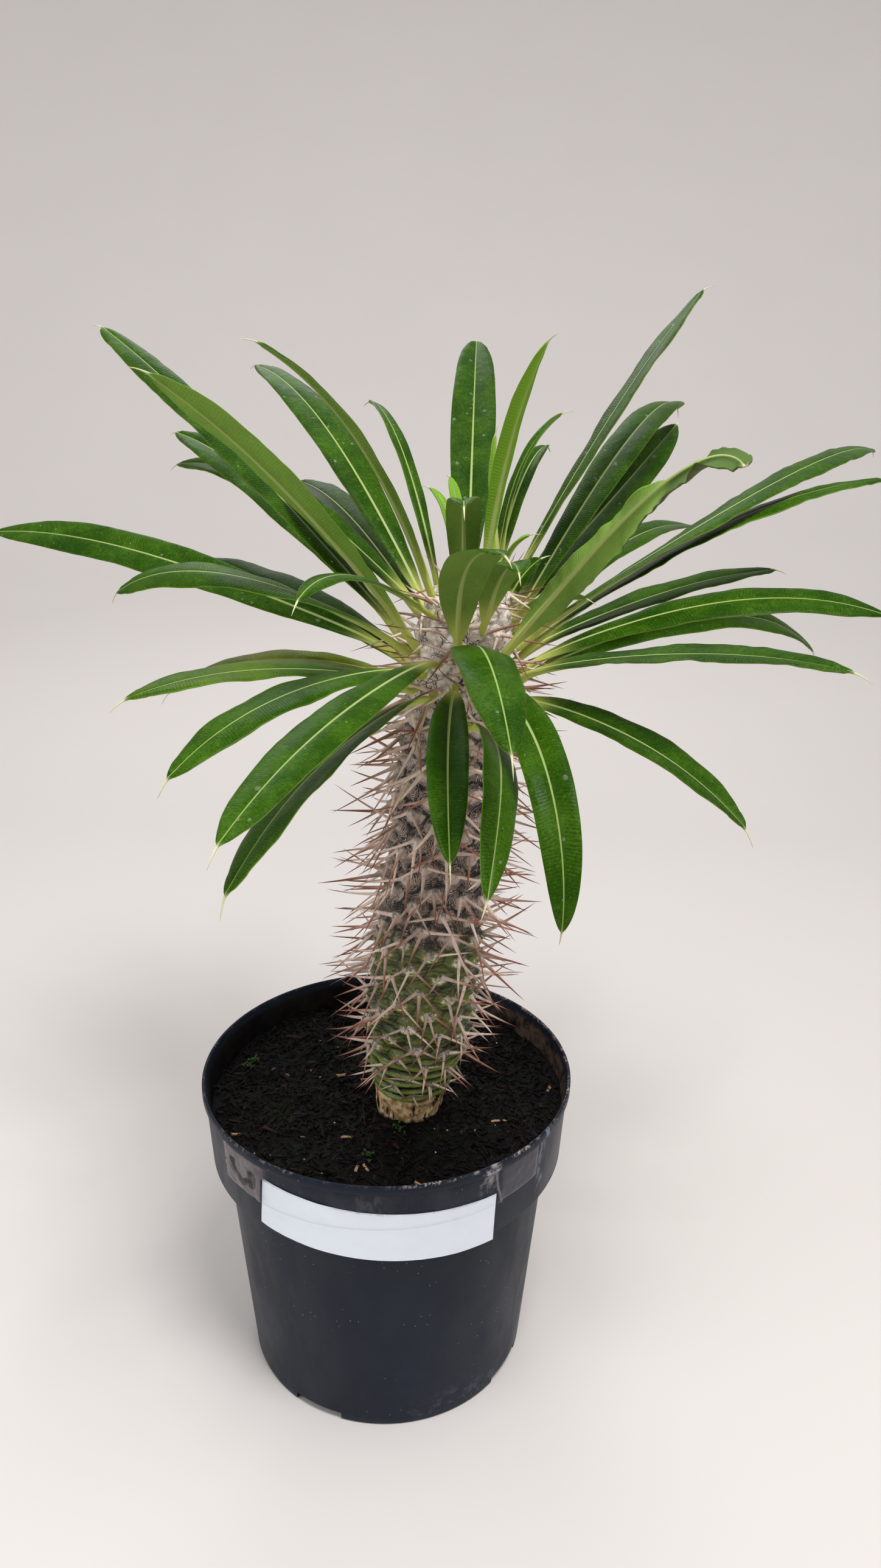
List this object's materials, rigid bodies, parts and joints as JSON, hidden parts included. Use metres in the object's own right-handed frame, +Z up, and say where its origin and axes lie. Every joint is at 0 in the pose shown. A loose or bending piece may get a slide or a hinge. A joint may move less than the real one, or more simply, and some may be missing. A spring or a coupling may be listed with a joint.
{
  "type": "potted madagascar palm",
  "caption": "Swollen, leaning, spiny stem with a crown of strap leaves, growing in a round plastic nursery pot filled with bark compost.",
  "frame": {"origin": "middle of the pot's foot, on the surface that it stands on", "axes": "+Z up, -Y towards the label on the pot, +X to the side that the stem leans to"},
  "size_m": [0.5632, 0.4999, 0.6882],
  "materials": {
    "pot_plastic": "semi-matte moulded plastic, scuffed, with dried lime and dirt near the rim",
    "soil_mix": "damp bark and peat mix with a few chips and white grains",
    "stem_bark": "wrinkled skin, green at the foot, grey-brown with dark cracks higher up, with woody spines",
    "leaf_green": "glossy leathery leaf with a pale midrib",
    "label_paper": "matte white paper",
    "clear_tape": "clear, slightly cloudy adhesive tape"
  },
  "bodies": {
    "root": {"pot": "pot_plastic", "soil": "soil_mix", "trunk": "stem_bark", "leaf_01": "leaf_green", "leaf_02": "leaf_green", "leaf_03": "leaf_green", "leaf_04": "leaf_green", "leaf_05": "leaf_green", "leaf_06": "leaf_green", "leaf_07": "leaf_green", "leaf_08": "leaf_green", "leaf_09": "leaf_green", "leaf_10": "leaf_green", "leaf_11": "leaf_green", "leaf_12": "leaf_green", "leaf_13": "leaf_green", "leaf_14": "leaf_green", "leaf_15": "leaf_green", "leaf_16": "leaf_green", "leaf_17": "leaf_green", "leaf_18": "leaf_green", "leaf_19": "leaf_green", "leaf_20": "leaf_green", "leaf_21": "leaf_green", "leaf_22": "leaf_green", "leaf_23": "leaf_green", "leaf_24": "leaf_green", "leaf_25": "leaf_green", "leaf_26": "leaf_green", "leaf_27": "leaf_green", "leaf_28": "leaf_green", "leaf_29": "leaf_green", "leaf_30": "leaf_green", "leaf_31": "leaf_green", "leaf_32": "leaf_green", "leaf_33": "leaf_green", "leaf_34": "leaf_green", "leaf_35": "leaf_green", "leaf_36": "leaf_green", "leaf_37": "leaf_green", "leaf_38": "leaf_green", "leaf_39": "leaf_green", "leaf_40": "leaf_green", "leaf_41": "leaf_green", "leaf_42": "leaf_green", "leaf_43": "leaf_green", "leaf_44": "leaf_green", "leaf_45": "leaf_green", "leaf_46": "leaf_green", "leaf_47": "leaf_green", "leaf_48": "leaf_green", "label": "label_paper", "tape": "clear_tape"}
  },
  "joints": []
}
